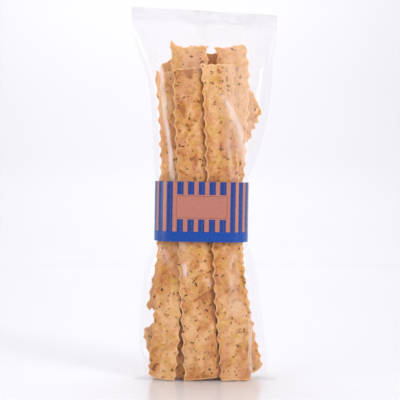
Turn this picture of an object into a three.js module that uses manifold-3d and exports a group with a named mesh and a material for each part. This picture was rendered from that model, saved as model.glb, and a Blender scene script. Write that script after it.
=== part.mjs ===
// A clear sealed bag of flat breadsticks that stands on its bottom seam, with a paper band round
// its waist. Millimetres, +Z up, +X to the right as seen from the front, and the front faces -Y.
// The origin is on the surface that the bag stands on, in the middle of the bag.

import * as THREE from "three";
import { ConvexGeometry } from "three/addons/geometries/ConvexGeometry.js";
import { mergeVertices } from "three/addons/utils/BufferGeometryUtils.js";
import Module from "manifold-3d";

// Driving dimensions.
const BAG_HEIGHT = 350; // floor to the highest corner of the top seal
const FLAT_WIDTH = 137; // the film tube pressed flat, as it is along both seals
const FILLED_DEPTH = 46.2; // front to back over the breadsticks
const FOOT_DEPTH = 44; // front to back where the bag stands

// Top seal: both films welded into one flat strip, which runs down to the right.
const SEAL_HEIGHT = 11;
const SEAL_THICKNESS = 1;
const SEAL_DROP = 8.4; // how far the right end hangs below the left end
const SEAL_BACKSET = 6; // the seal stands this far behind the middle of the bag
const SEAL_WAVE = 1.4; // the strip's gentle wave, front to back
const SEAL_WAVELENGTH = 74;
const SHOULDER_HEIGHT = 56; // from the top of the filled part up to the seal

// Bottom seal: folded flat under the bag, with an ear past each side. An ear is a flat wedge,
// broad and thick where it leaves the bag's foot, and thin along its tip.
const EAR_SETBACK = 4; // the seal's middle is this far in front of the middle of the bag
const EAR_TIPS = [-66, 68];
const EAR_TIP_BAND = 10; // front to back
const EAR_TIP_THICKNESS = 0.8;
const EAR_ROOTS = [-50, 53];
const EAR_ROOT_BAND = 24;
const EAR_ROOT_HEIGHT = 7;

// Paper band.
const BAND_WIDTH = 87.9;
const BAND_DEPTH = 46;
const BAND_HEIGHT = 56;
const BAND_MIDDLE = 157; // height of its middle above the floor
const BAND_SHIFT = -2.4; // its middle is a little left of the bag's
const BAND_CORNER = 20;
const BAND_THICKNESS = 0.4;
const BAND_TILT = THREE.MathUtils.degToRad(1);
const LAP_WIDTH = 22; // glued overlap on the back face
const LAP_SHIFT = 6;
const BAND_GAP = 0.4; // free space between the film and the paper

// Soft valleys in the film over the two gaps between the three breadsticks of a face.
// Each runs from its place at the foot to its place at the top.
const VALLEY_DEPTH = 1.6;
const VALLEY_HALF_WIDTH = 4.5;
const VALLEY_TOP = 290;
const VALLEY_FADE = [205, 250]; // the slack film above the band bridges the gaps
const FRONT_VALLEYS = [
  { foot: -20.4, top: -27.7 },
  { foot: 14.2, top: -2.4 },
];
const BACK_VALLEYS = [
  { foot: -15, top: -11 },
  { foot: 21, top: 19 },
];

// Fineness of the faceted surface.
const COLUMNS_PER_FACE = 34;
const ROW_STEP = 9;
const ARC_SEGMENTS = 10;

const HALF_FLAT = FLAT_WIDTH / 2;
const HALF_DEPTH = FILLED_DEPTH / 2;
const HALF_FOOT = FOOT_DEPTH / 2;
const SEAL_TOP = BAG_HEIGHT - SEAL_DROP / 2;
const SEAL_FOOT = SEAL_TOP - SEAL_HEIGHT;
const SHOULDER_FOOT = SEAL_FOOT - SHOULDER_HEIGHT;
const BAND_CENTRE_Y = -BAND_THICKNESS / 2;
const WAIST_LOW = BAND_MIDDLE - BAND_HEIGHT / 2 - 2.5;
const WAIST_HIGH = BAND_MIDDLE + BAND_HEIGHT / 2 + 2.5;
const WAIST_SWAY = (BAND_HEIGHT / 2) * Math.sin(BAND_TILT);
const WAIST_HALF_WIDTH = BAND_WIDTH / 2 - BAND_THICKNESS - BAND_GAP - WAIST_SWAY;
const WAIST_LEFT = BAND_SHIFT - WAIST_HALF_WIDTH;
const WAIST_RIGHT = BAND_SHIFT + WAIST_HALF_WIDTH;
const WAIST_FRONT = BAND_CENTRE_Y - BAND_DEPTH / 2 + BAND_THICKNESS + BAND_GAP;
const WAIST_BACK = BAND_CENTRE_Y + BAND_DEPTH / 2 - BAND_THICKNESS - BAND_GAP;

// The bag's section at one height: where its two side edges and its two faces lie, and how
// square it is, from 2 for an ellipse to 8 and over for a rectangle.
const station = (height, left, right, front, back, squareness) => ({
  height,
  left,
  right,
  front,
  back,
  squareness,
});
const STATIONS = [
  station(0, -53.5, 56, -20.6, 20.6, 3.4),
  station(1.6, -55.2, 57.8, -HALF_FOOT, HALF_FOOT, 3.4),
  station(9, -56.5, 59, -HALF_FOOT, HALF_FOOT, 3.3),
  station(22, -59.6, 59, -22.6, 22.6, 3.1),
  station(45, -60.4, 56, -HALF_DEPTH, HALF_DEPTH, 2.9),
  station(70, -59.6, 53, -HALF_DEPTH, HALF_DEPTH, 2.8),
  station(100, -55.5, 49, -HALF_DEPTH, HALF_DEPTH, 2.9),
  station(117, -50.5, 45.5, -22.4, 22.4, 3.1),
  station(WAIST_LOW, WAIST_LEFT, WAIST_RIGHT, WAIST_FRONT, WAIST_BACK, 3.3),
  station(BAND_MIDDLE, WAIST_LEFT, WAIST_RIGHT, WAIST_FRONT, WAIST_BACK, 3.3),
  station(WAIST_HIGH, WAIST_LEFT, WAIST_RIGHT, WAIST_FRONT, WAIST_BACK, 3.3),
  station(198, -46.8, 46, -22.4, 22.4, 3.1),
  station(215, -46.8, 51.5, -HALF_DEPTH, HALF_DEPTH, 2.8),
  station(235, -48.2, 57.5, -HALF_DEPTH, HALF_DEPTH, 2.55),
  station(262, -49, 61.5, -HALF_DEPTH, HALF_DEPTH, 2.4),
  station(SHOULDER_FOOT, -51.5, 63, -HALF_DEPTH, HALF_DEPTH, 2.35),
  station(294, -57, 64.5, -21, 21.5, 2.25),
  station(307, -61.5, 65.5, -13.5, 19.5, 2.15),
  station(321, -65.5, 67, -4, 14.5, 2.1),
  station(SEAL_FOOT - 1, -68.2, 68.4, SEAL_BACKSET - 1.2, SEAL_BACKSET + 1.2, 4),
  station(
    SEAL_FOOT + 1,
    -HALF_FLAT,
    HALF_FLAT,
    SEAL_BACKSET - SEAL_THICKNESS / 2,
    SEAL_BACKSET + SEAL_THICKNESS / 2,
    12,
  ),
  station(
    SEAL_TOP,
    -HALF_FLAT,
    HALF_FLAT,
    SEAL_BACKSET - SEAL_THICKNESS / 2,
    SEAL_BACKSET + SEAL_THICKNESS / 2,
    12,
  ),
];

const film = new THREE.MeshStandardMaterial({
  name: "film",
  color: 0xe2b68c,
  roughness: 0.2,
  metalness: 0,
});
const paper = new THREE.MeshStandardMaterial({
  name: "paper",
  color: 0x35468c,
  roughness: 0.75,
  metalness: 0,
});

// A smooth curve through one column of the stations. Its slope at a station is kept low enough
// that the curve never swings past the stations' own values.
function stationCurve(key) {
  const heights = STATIONS.map((row) => row.height);
  const values = STATIONS.map((row) => row[key]);
  const last = heights.length - 1;
  const rise = heights
    .slice(1)
    .map((height, i) => (values[i + 1] - values[i]) / (height - heights[i]));
  const slopes = heights.map((height, i) => {
    if (i === 0 || i === last) return 0;
    if (rise[i - 1] * rise[i] <= 0) return 0;
    return (2 * rise[i - 1] * rise[i]) / (rise[i - 1] + rise[i]);
  });
  return (height) => {
    const found = heights.findIndex((above) => above >= height);
    const i = Math.min(Math.max(found - 1, 0), last - 1);
    const span = heights[i + 1] - heights[i];
    const t = (height - heights[i]) / span;
    const ease = t * t * (3 - 2 * t);
    const startSlope = slopes[i] * span * t * (1 - t) * (1 - t);
    const endSlope = slopes[i + 1] * span * t * t * (t - 1);
    return values[i] + (values[i + 1] - values[i]) * ease + startSlope + endSlope;
  };
}

const curves = Object.fromEntries(
  ["left", "right", "front", "back", "squareness"].map((key) => [key, stationCurve(key)]),
);

// Heights of the rows of the surface: every station, and even steps between them.
function rowHeights() {
  const heights = [STATIONS[0].height];
  for (const { height } of STATIONS.slice(1)) {
    const low = heights[heights.length - 1];
    const steps = Math.max(1, Math.round((height - low) / ROW_STEP));
    for (let i = 1; i <= steps; i++) heights.push(low + ((height - low) * i) / steps);
  }
  return heights;
}

// How far the film dips at x over the valleys of one face. The dips fade out at the foot,
// under the band and where the film is slack above it.
function valleyDip(valleys, x, height) {
  const away = THREE.MathUtils.smoothstep(Math.abs(height - BAND_MIDDLE), BAND_HEIGHT / 2, 48);
  const foot = THREE.MathUtils.smoothstep(height, 0, 12);
  const taut = 1 - THREE.MathUtils.smoothstep(height, ...VALLEY_FADE);
  const dips = valleys.map(({ foot: low, top }) => {
    const middle = THREE.MathUtils.lerp(low, top, height / VALLEY_TOP);
    return Math.exp(-(((x - middle) / VALLEY_HALF_WIDTH) ** 2));
  });
  return VALLEY_DEPTH * away * foot * taut * Math.max(...dips);
}

// The shoulder and the seal lean down to the right, and the seal waves.
function settleTop(point) {
  const lean = THREE.MathUtils.smoothstep(point.z, SHOULDER_FOOT, SEAL_FOOT);
  point.z -= (lean * SEAL_DROP * point.x) / FLAT_WIDTH;
  point.y += lean * SEAL_WAVE * Math.sin((2 * Math.PI * point.x) / SEAL_WAVELENGTH);
  return point;
}

// One closed ring of points at a height, from the left edge along the front to the right edge
// and home along the back.
function ring(height) {
  const left = curves.left(height);
  const right = curves.right(height);
  const front = curves.front(height);
  const back = curves.back(height);
  const power = curves.squareness(height);
  const middle = (left + right) / 2;
  const halfWidth = (right - left) / 2;
  const edgeY = (front + back) / 2;
  const across = (i) => -Math.cos((Math.PI * i) / COLUMNS_PER_FACE);
  const fullness = (u) => (1 - Math.abs(u) ** power) ** (1 / power);
  const points = [];
  for (let i = 0; i < COLUMNS_PER_FACE; i++) {
    const x = middle + halfWidth * across(i);
    const deep = (edgeY - front) * fullness(across(i));
    const dip = Math.min(valleyDip(FRONT_VALLEYS, x, height), deep / 2);
    points.push(settleTop(new THREE.Vector3(x, edgeY - deep + dip, height)));
  }
  for (let i = COLUMNS_PER_FACE; i > 0; i--) {
    const x = middle + halfWidth * across(i);
    const deep = (back - edgeY) * fullness(across(i));
    const dip = Math.min(valleyDip(BACK_VALLEYS, x, height), deep / 2);
    points.push(settleTop(new THREE.Vector3(x, edgeY + deep - dip, height)));
  }
  return points;
}

// A closed skin over a stack of rings, with a fan over each end.
function skin(rings) {
  const around = rings[0].length;
  const positions = rings.flat();
  const middleOf = (points) =>
    points.reduce((sum, point) => sum.add(point), new THREE.Vector3()).divideScalar(around);
  const low = positions.push(middleOf(rings[0])) - 1;
  const high = positions.push(middleOf(rings[rings.length - 1])) - 1;
  const top = (rings.length - 1) * around;
  const faces = [];
  for (let i = 0; i < around; i++) {
    const next = (i + 1) % around;
    faces.push([low, next, i], [high, top + i, top + next]);
    for (let row = 0; row < top; row += around) {
      const corners = [row + i, row + next, row + around + next, row + around + i];
      faces.push([corners[0], corners[1], corners[2]], [corners[0], corners[2], corners[3]]);
    }
  }
  const geometry = new THREE.BufferGeometry().setFromPoints(positions);
  geometry.setIndex(faces.flat());
  return geometry;
}

// One ear of the bottom seal, from its root inside the bag's foot to its tip on the floor.
function ear(root, tip) {
  const corners = [];
  for (const [x, band, thickness] of [
    [root, EAR_ROOT_BAND, EAR_ROOT_HEIGHT],
    [tip, EAR_TIP_BAND, EAR_TIP_THICKNESS],
  ]) {
    for (const side of [-1, 1]) {
      corners.push(new THREE.Vector3(x, (side * band) / 2 - EAR_SETBACK, 0));
      corners.push(new THREE.Vector3(x, (side * EAR_TIP_BAND) / 2 - EAR_SETBACK, thickness));
    }
  }
  return new ConvexGeometry(corners);
}

const wasm = await Module();
wasm.setup();

// A closed geometry as a solid for cutting and joining, and back again.
function solid(geometry) {
  const bare = geometry.clone();
  bare.deleteAttribute("normal");
  bare.deleteAttribute("uv");
  const merged = mergeVertices(bare, 1e-4);
  return new wasm.Manifold(
    new wasm.Mesh({
      numProp: 3,
      vertProperties: merged.attributes.position.array,
      triVerts: new Uint32Array(merged.index.array),
    }),
  );
}

function geometryOf(manifold) {
  const { vertProperties, triVerts } = manifold.getMesh();
  const geometry = new THREE.BufferGeometry();
  geometry.setAttribute("position", new THREE.BufferAttribute(vertProperties, 3));
  geometry.setIndex(new THREE.BufferAttribute(triVerts, 1));
  geometry.computeVertexNormals();
  return geometry;
}

// The filled bag: film drawn over the breadsticks, with both seals.
function bagGeometry() {
  const body = solid(skin(rowHeights().map(ring)));
  const ears = EAR_ROOTS.map((root, i) => solid(ear(root, EAR_TIPS[i])));
  return geometryOf(ears.reduce((joined, next) => joined.add(next), body));
}

// One outline of the band seen from above: a rectangle with round corners, going anticlockwise.
// The outer one steps out along the back, where the glued end laps over.
function bandOutline(path, inset, lap) {
  const x = BAND_WIDTH / 2 - BAND_CORNER;
  const y = BAND_DEPTH / 2 - BAND_CORNER;
  const radius = BAND_CORNER - inset;
  path.absarc(x, -y, radius, -Math.PI / 2, 0);
  path.absarc(x, y, radius, 0, Math.PI / 2);
  if (lap > 0) {
    const face = BAND_DEPTH / 2;
    path.lineTo(LAP_SHIFT + LAP_WIDTH / 2, face);
    path.lineTo(LAP_SHIFT + LAP_WIDTH / 2, face + lap);
    path.lineTo(LAP_SHIFT - LAP_WIDTH / 2, face + lap);
    path.lineTo(LAP_SHIFT - LAP_WIDTH / 2, face);
  }
  path.absarc(-x, y, radius, Math.PI / 2, Math.PI);
  path.absarc(-x, -y, radius, Math.PI, (3 * Math.PI) / 2);
  return path;
}

function bandGeometry() {
  const outline = bandOutline(new THREE.Shape(), 0, BAND_THICKNESS);
  outline.holes.push(bandOutline(new THREE.Path(), BAND_THICKNESS, 0));
  const sleeve = new THREE.ExtrudeGeometry(outline, {
    depth: BAND_HEIGHT,
    bevelEnabled: false,
    curveSegments: ARC_SEGMENTS,
  });
  return sleeve.translate(0, 0, -BAND_HEIGHT / 2);
}

function piece(name, geometry, material) {
  const mesh = new THREE.Mesh(geometry, material);
  mesh.name = name;
  return mesh;
}

const pack = new THREE.Group();
pack.add(piece("bag", bagGeometry(), film));

const band = piece("band", bandGeometry(), paper);
band.position.set(BAND_SHIFT, BAND_CENTRE_Y, BAND_MIDDLE);
band.rotation.y = BAND_TILT;
pack.add(band);

export default pack;
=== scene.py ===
"""A clear sealed bag of flat seeded breadsticks with a striped paper band round its waist.

Metres in Blender, millimetres in the tables below. +Z is up, the shown face looks towards -Y, and
the origin is on the surface that the bag stands on.
"""

import math
from contextlib import contextmanager
from dataclasses import dataclass

import bpy
import numpy as np
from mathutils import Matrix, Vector
from mathutils.kdtree import KDTree


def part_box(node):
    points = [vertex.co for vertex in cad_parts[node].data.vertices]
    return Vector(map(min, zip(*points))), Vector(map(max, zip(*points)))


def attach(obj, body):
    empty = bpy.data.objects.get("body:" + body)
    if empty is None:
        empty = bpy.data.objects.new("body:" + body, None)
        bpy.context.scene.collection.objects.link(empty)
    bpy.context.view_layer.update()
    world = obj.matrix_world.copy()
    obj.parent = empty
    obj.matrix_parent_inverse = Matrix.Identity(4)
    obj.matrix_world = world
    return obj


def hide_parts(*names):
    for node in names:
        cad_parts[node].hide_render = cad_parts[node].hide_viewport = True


bl_info = {
    "name": "Breadstick Pack",
    "version": (1, 0, 0),
    "blender": (4, 5, 0),
    "location": "View3D > Sidebar > Breadsticks",
    "description": "A clear bag of flat seeded breadsticks with a striped paper band",
    "category": "Object",
}

MM = 0.001  # a millimetre of the tables, in metres

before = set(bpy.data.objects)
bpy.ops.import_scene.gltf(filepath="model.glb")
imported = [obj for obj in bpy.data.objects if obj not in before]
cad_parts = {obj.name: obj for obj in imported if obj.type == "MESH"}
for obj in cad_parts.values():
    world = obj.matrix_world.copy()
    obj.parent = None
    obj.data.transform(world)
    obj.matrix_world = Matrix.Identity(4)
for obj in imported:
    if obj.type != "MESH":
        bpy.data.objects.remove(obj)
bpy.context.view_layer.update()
BAG_TOP = np.array(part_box("bag"))[1, 2] / MM
BAND_FOOT, BAND_TOP = np.array(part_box("band"))[:, 2] / MM
BODY = "root"


# ---- The breadsticks' places in the bag


@dataclass(frozen=True)
class End:
    """One end of a stick: how much higher its right corner is than its left, a pointed corner on
    one side (-1 left, 1 right) and its height, and how ragged a break it is."""

    slant: float = 0
    horn_side: int = 0
    horn: float = 0
    torn: float = 0


@dataclass
class Stick:
    """One breadstick. Its stations go up from its foot: height, place across, place front to
    back, and turn in degrees, where a positive turn carries its right edge to the back.

    waves: their pitch, and how far along it one wave stands out on its left and right edges
    toast, top_toast_and_light, foot_shade: how much browner it is all over, at its top and at its
    foot; on some sticks these make it paler as painted light or darker as painted shade
    cupped: how far its edges lean back
    edge_toast_and_shade: how much browner its left and right edges are; on the middle front stick
    the right edge's browning is painted shade where the right front stick lies over it
    creases: each one's two ends, across and along its front, and the height of its ledge
    specks: how densely its front and its back are seeded
    """

    name: str
    width: float
    stations: tuple
    seed: int
    waves: tuple = (12, 5, 9)
    top: End = End()
    foot: End = End()
    toast: float = 0
    top_toast_and_light: float = 0
    foot_shade: float = 0
    cupped: float = 0
    edge_toast_and_shade: tuple = (0, 0)
    creases: tuple = ()
    specks: tuple = (1, 1)


STICKS = (
    # The middle front stick's right edge is browned as painted shade where the right front stick
    # lies over it.
    Stick("front_middle", 33, (
        (1.7, -0.8, -16.6, 2), (126, -7.1, -15.8, 4), (187, -8.4, -15.4, 5), (290.2, -13, -14, 5),
    ), seed=11, waves=(12.9, 2.9, 8), toast=0.02, top_toast_and_light=0.16, cupped=1.5, edge_toast_and_shade=(0.1, 0.9),
        specks=(1.3, 0.2),
        creases=((-15, 17, 12, 52, 1.5), (-5, 73, 15, 85, -0.9), (-14, 214, 12, 252, 0.8))),
    Stick("front_right", 29.5, (
        (0.8, 29.8, -16, 7), (126, 21.4, -14.4, 14), (187, 17.5, -14.8, 14), (293.4, 11.8, -15, 12),
    ), seed=23, waves=(12.1, 15.1, 6), top_toast_and_light=-0.5, cupped=-0.5, edge_toast_and_shade=(0.3, 0),
        specks=(1.2, 0.2), foot=End(slant=1.5)),
    # Paler all over and at its top as painted light, against the shade it lies in, turned away from
    # the main light behind the middle front stick.
    Stick("front_left", 25.5, (
        (0.9, -39.2, -13.2, -14), (69, -34.1, -9.9, -15), (187, -28.6, -7.4, -13),
        (287.2, -32.4, -7, -10),
    ), seed=37, waves=(11.6, 0, 4), toast=-0.07, top_toast_and_light=-0.3, specks=(1.2, 0.4),
        top=End(slant=0.5, horn_side=-1, horn=4), foot=End(slant=-0.3, horn_side=-1, horn=-4),
        creases=((-13, 66, 12, 71, 0.7), (-12, 26, 2, 34, -0.8))),
    # Paler all over as a painted reflection of the film's pale sheen over it, and darkened at its
    # foot as painted shade deep in the gap between the left and middle front sticks.
    Stick("core_left", 34, (
        (2, -22, -9.4, -4), (126, -17, -6, -14), (187, -15, -4.4, -14), (311, -13.6, -2, -5),
    ), seed=41, toast=-0.36, foot_shade=0.95, top=End(slant=2.5, horn_side=-1, horn=8)),
    # Paler all over as a painted reflection of the film's pale sheen over it.
    Stick("core_right", 28.5, (
        (3.1, 43.5, 6, 13), (64, 29, 1.5, 12), (126, 21.4, -2.6, 11), (187, 22.6, -4.4, 10),
        (311, 24.4, -3.4, 5),
    ), seed=53, waves=(11.3, 5, 0.6), toast=-0.5, top=End(slant=0.5, horn_side=-1, horn=3.6),
        foot=End(slant=1.5, horn_side=1, horn=-5)),
    # Paler all over and at its top as painted light, for a stick lying in shade behind the two
    # sticks in front of it.
    Stick("core_middle", 32, (
        (2, 8, 7, 2), (126, 9.5, 6.8, -2), (187, 9, 7.2, -2), (306, 7.2, 7, 0),
    ), seed=67, toast=-0.3, top_toast_and_light=-0.4),
    Stick("back_left", 32, (
        (2.5, -32, 12.2, 2), (126, -22.5, 12.4, 0), (187, -22.5, 12.8, 0), (304.6, -25.6, 7, -6),
    ), seed=71, toast=-0.12, top=End(slant=20)),
    Stick("back_middle", 34, (
        (2, 3, 17, 0), (126, -2, 17.9, 0), (187, -6, 17.9, 0), (300, -12, 16.3, 2),
    ), seed=83, specks=(0.2, 1.2)),
    Stick("back_right", 32, (
        (2.5, 32, 11.8, -2), (126, 20.6, 11.8, -4), (187, 19.5, 12, -4), (296, 23, 15, 0),
    ), seed=97, specks=(0.2, 1.2)),
    Stick("broken_right", 35, (
        (227.9, 24.4, 3.4, 7), (271.1, 44.2, 4.2, 8),
    ), seed=101, top=End(slant=-24, horn_side=1, horn=-2, torn=0.5), foot=End(torn=1.2)),
    Stick("broken_left", 32, (
        (61.5, -38.3, 6.8, -10), (126, -26, 6.4, -7), (196, -9, 3.4, -12),
    ), seed=113, top=End(torn=2), foot=End(slant=-2, horn_side=-1, horn=-2.5, torn=1.2)),
    # Its toast darkens it as painted shade in the gap between the middle and right front sticks.
    Stick("broken_core", 24, (
        (2, 13, -7.4, 0), (104, 11.5, -8.6, 3),
    ), seed=131, toast=0.5, top=End(slant=9, torn=1.2)),
    Stick("broken_foot", 27, (
        (4, -34, 6.4, -6), (51, -46, 7, -8),
    ), seed=127, toast=-0.2, top=End(slant=5, torn=1.3)),
)


# ---- Settings


def a_number(name, description, default, low, high, **options):
    return bpy.props.FloatProperty(
        name=name, description=description, default=default, min=low, max=high, **options,
    )


def a_length(*row):
    return a_number(*row, unit="LENGTH")


def a_share(*row):
    return a_number(*row, subtype="FACTOR")


def a_colour(name, description, default):
    return bpy.props.FloatVectorProperty(
        name=name, description=description, default=default,
        size=3, min=0, max=1, subtype="COLOR",
    )


class BreadSettings(bpy.types.PropertyGroup):
    """Sizes and colours of the breadsticks."""

    thickness: a_length(
        "Thickness", "A stick's thickness between its blisters", 0.0042, 0.002, 0.008,
    )
    wave_pitch: a_length(
        "Wave pitch", "Distance between the waves of the fluted edges", 0.012, 0.003, 0.02,
    )
    wave_depth: a_length(
        "Wave depth", "How far the fluted edges swing in and out", 0.0022, 0, 0.004,
    )
    pale: a_colour("Pale crust", "Colour of the least baked crust", (0.82, 0.49, 0.235))
    gold: a_colour("Golden crust", "Colour of most of the crust", (0.68, 0.338, 0.125))
    orange: a_colour("Orange crust", "Colour where the crust begins to toast", (0.64, 0.255, 0.058))
    toasted: a_colour("Toasted crust", "Colour of the crust on the blisters", (0.42, 0.125, 0.024))
    seed_length: a_length("Seed length", "Length of one dark seed", 0.0014, 0.0005, 0.003)
    seed_spacing: a_length(
        "Seed spacing", "Usual distance between clusters of seeds", 0.009, 0.004, 0.05,
    )


class BandSettings(bpy.types.PropertyGroup):
    """Print of the paper band."""

    bar_pitch: a_length(
        "Bar pitch", "Distance between the middles of two printed bars", 0.00985, 0.004, 0.03,
    )
    bar_width: a_length("Bar width", "Width of one printed bar", 0.0059, 0.001, 0.02)
    ink: a_colour(
        "Ink", "Colour of the bars and of the strip along the lower edge", (0.012, 0.047, 0.235),
    )
    paper: a_colour("Paper", "Colour of the paper between the bars", (0.495, 0.186, 0.14))


class FilmSettings(bpy.types.PropertyGroup):
    """Finish of the clear film."""

    gloss: a_share(
        "Gloss", "Share of light that the film mirrors when it faces the eye", 0.02, 0, 0.5,
    )
    haze: a_share("Haze", "Milkiness of the film", 0.008, 0, 0.3)
    roughness: a_share("Roughness", "Softness of the film's highlights", 0.08, 0, 0.15)


class StageSettings(bpy.types.PropertyGroup):
    """Floor, light and camera."""

    floor: a_colour("Floor", "Colour of the floor and the backdrop", (0.768, 0.775, 0.806))
    fill: a_number("Fill light", "Brightness of the light from all round", 0.51, 0, 3)
    softbox: a_number("Softboxes", "Strength of all the softboxes together", 1, 0, 10)


SETTINGS = {
    "breadpack_bread": BreadSettings,
    "breadpack_band": BandSettings,
    "breadpack_film": FilmSettings,
    "breadpack_stage": StageSettings,
}


# ---- Tools of the bench


def pick_only(obj):
    bpy.ops.object.select_all(action="DESELECT")
    obj.select_set(True)
    bpy.context.view_layer.objects.active = obj


def fresh(add, name, **options):
    """A new piece from one of Blender's primitives."""
    add(**options)
    obj = bpy.context.object
    obj.name = obj.data.name = name
    return obj


@contextmanager
def editing(obj):
    """Edit mode with everything of the piece selected."""
    pick_only(obj)
    bpy.ops.object.mode_set(mode="EDIT")
    bpy.ops.mesh.select_all(action="SELECT")
    yield
    bpy.ops.object.mode_set(mode="OBJECT")


def read(items, key, width=1, kind=float):
    """A value, or a row of values, from every item of a mesh's collection."""
    values = np.empty(len(items) * width, kind)
    items.foreach_get(key, values)
    return values if width == 1 else values.reshape(-1, width)


def points_of(mesh):
    """The mesh's vertices as rows of millimetres."""
    return read(mesh.vertices, "co", 3) / MM


def normals_of(mesh):
    return read(mesh.vertex_normals, "vector", 3)


def move_points(mesh, points):
    mesh.vertices.foreach_set("co", np.ascontiguousarray(points * MM).ravel())
    mesh.update()


def store(mesh, name, values):
    """One number for each vertex, kept on the mesh for its material."""
    layer = mesh.attributes.get(name) or mesh.attributes.new(name, "FLOAT", "POINT")
    layer.data.foreach_set("value", np.asarray(values, np.float32))


def stored(mesh, name):
    return read(mesh.attributes[name].data, "value", kind=np.float32)


def tree_of(points):
    """A search tree that finds which points are near a place."""
    tree = KDTree(len(points))
    for i, point in enumerate(points):
        tree.insert(point, i)
    tree.balance()
    return tree


def apply_modifiers(obj):
    pick_only(obj)
    for modifier in list(obj.modifiers):
        bpy.ops.object.modifier_apply(modifier=modifier.name)


def pick_sharp(degrees):
    """In edit mode, only the edges that turn by more than this."""
    bpy.ops.mesh.select_all(action="DESELECT")
    bpy.ops.mesh.select_mode(type="EDGE")
    bpy.ops.mesh.edges_select_sharp(sharpness=math.radians(degrees))


def ease(low, high, value):
    """0 at low, 1 at high, and smooth between them."""
    t = np.clip((value - low) / (high - low), 0, 1)
    return t * t * (3 - 2 * t)


def unit(rows):
    return rows / np.linalg.norm(rows, axis=1)[:, None]


def beside_line(x, z, x0, z0, x1, z1):
    """How far along a line each spot is, from 0 to 1, how far to its right, and its length."""
    reach = math.hypot(x1 - x0, z1 - z0)
    a = ((x - x0) * (x1 - x0) + (z - z0) * (z1 - z0)) / reach**2
    d = ((x - x0) * (z1 - z0) - (z - z0) * (x1 - x0)) / reach
    return a, d, reach


def hand_over(obj, finish, node, crease=None):
    """Smooths a finished piece, apart from edges that turn by more than the crease in degrees,
    and gives it its material and its body, and hides the part of model.glb that it stands for."""
    pick_only(obj)
    if crease:
        bpy.ops.object.shade_smooth_by_angle(angle=math.radians(crease))
    else:
        bpy.ops.object.shade_smooth()
    obj.data.materials.clear()
    obj.data.materials.append(finish)
    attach(obj, BODY)
    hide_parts(node)


# ---- Materials


class Nodes:
    """A node tree that grows by calls, from what it reads to what it shows."""

    def __init__(self, tree):
        self.tree = tree

    def set(self, socket, value):
        if isinstance(value, bpy.types.NodeSocket):
            self.tree.links.new(value, socket)
        elif hasattr(value, "__len__") and len(value) == 3 and socket.type == "RGBA":
            socket.default_value = (*value, 1)
        else:
            socket.default_value = value

    def node(self, kind, inputs=None, **options):
        """A node with its options set, and its inputs set or linked by name or number."""
        made = self.tree.nodes.new("ShaderNode" + kind)
        for key, value in options.items():
            setattr(made, key, value)
        for key, value in (inputs or {}).items():
            self.set(made.inputs[key], value)
        return made

    def math(self, operation, *values):
        return self.node("Math", dict(enumerate(values)), operation=operation).outputs[0]

    def times(self, first, second):
        return self.math("MULTIPLY", first, second)

    def scaled(self, value, low, high, to_low=0.0, to_high=1.0):
        """The value eased from one range to another."""
        inputs = {
            "Value": value, "From Min": low, "From Max": high, "To Min": to_low, "To Max": to_high,
        }
        return self.node("MapRange", inputs, interpolation_type="SMOOTHSTEP").outputs[0]

    def noise(self, scale, detail=3.0, roughness=0.5, distortion=0.0, stretch=None):
        """Noise over the piece, with features about one over scale metres wide."""
        where = self.node("TexCoord").outputs["Object"]
        if stretch:
            where = self.node("Mapping", {"Vector": where, "Scale": stretch}).outputs[0]
        inputs = {
            "Vector": where, "Scale": scale, "Detail": detail, "Roughness": roughness,
            "Distortion": distortion,
        }
        return self.node("TexNoise", inputs).outputs[0]

    def attribute(self, name):
        return self.node("Attribute", attribute_name=name).outputs["Fac"]

    def mix(self, share, first, second):
        blend = self.node("Mix", data_type="RGBA")
        self.set(blend.inputs["Factor"], share)
        self.set(blend.inputs[6], first)
        self.set(blend.inputs[7], second)
        return blend.outputs[2]

    def ramp(self, value, stops):
        made = self.node("ValToRGB", {"Fac": value})
        elements = made.color_ramp.elements
        while len(elements) < len(stops):
            elements.new(0.5)
        for element, (place, colour) in zip(elements, stops):
            element.position = place
            element.color = (*colour, 1)
        return made.outputs[0]

    def bump(self, height, distance, strength=1.0, **below):
        inputs = {"Height": height, "Distance": distance, "Strength": strength, **below}
        return self.node("Bump", inputs).outputs[0]


class Shader(Nodes):
    """A new material and its nodes."""

    def __init__(self, name):
        self.material = bpy.data.materials.new(name)
        self.material.use_nodes = True
        super().__init__(self.material.node_tree)
        self.tree.nodes.clear()

    def finish(self, surface):
        """The material with this surface, or with a plain shader's inputs for its surface."""
        if isinstance(surface, dict):
            surface = self.node("BsdfPrincipled", surface).outputs[0]
        self.node("OutputMaterial", {"Surface": surface})
        return self.material


def tinted(colour, *factors):
    return [value * factor for value, factor in zip(colour, factors)]


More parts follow.
